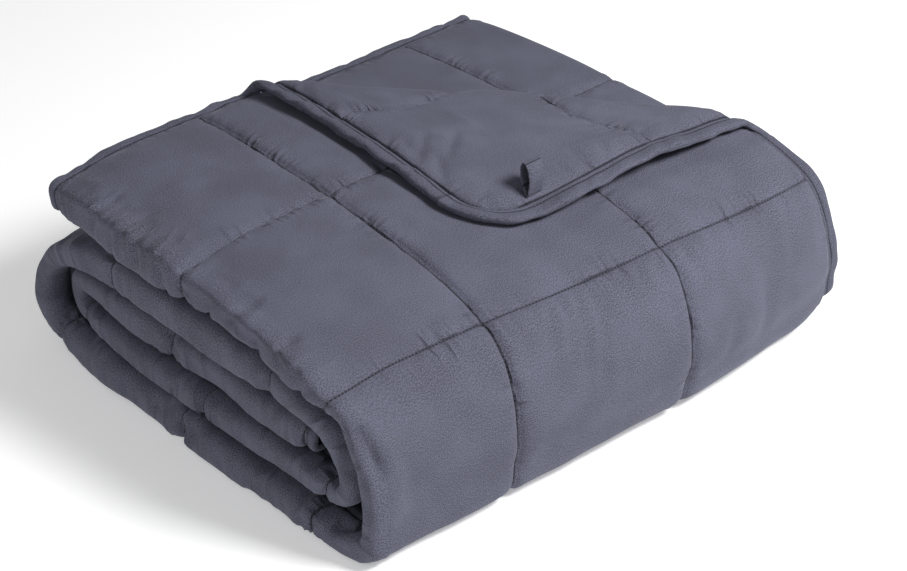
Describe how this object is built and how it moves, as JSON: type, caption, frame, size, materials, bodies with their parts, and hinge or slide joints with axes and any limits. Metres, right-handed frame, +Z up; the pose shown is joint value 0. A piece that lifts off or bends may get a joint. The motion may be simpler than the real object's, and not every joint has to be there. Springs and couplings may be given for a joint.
{
  "type": "folded weighted blanket",
  "caption": "Quilted weighted blanket with a bound edge, folded in thirds, rolled over itself into a soft pile and one corner turned back to show a tape loop.",
  "frame": {"origin": "under the middle of the folded pile, on the surface it lies on", "axes": "+Z up; +X across the pile, from the side of the rolled folds to the side of the free edges; -Y toward the rounded front"},
  "size_m": [0.4541, 0.3874, 0.167],
  "materials": {
    "brushed_cloth": "matt brushed microfibre, dark slate",
    "binding_tape": "matt folded bias tape of the same dark slate cloth"
  },
  "bodies": {
    "root": {"quilted_panel": "brushed_cloth", "edge_binding": "binding_tape", "corner_loop": "binding_tape"}
  },
  "joints": []
}
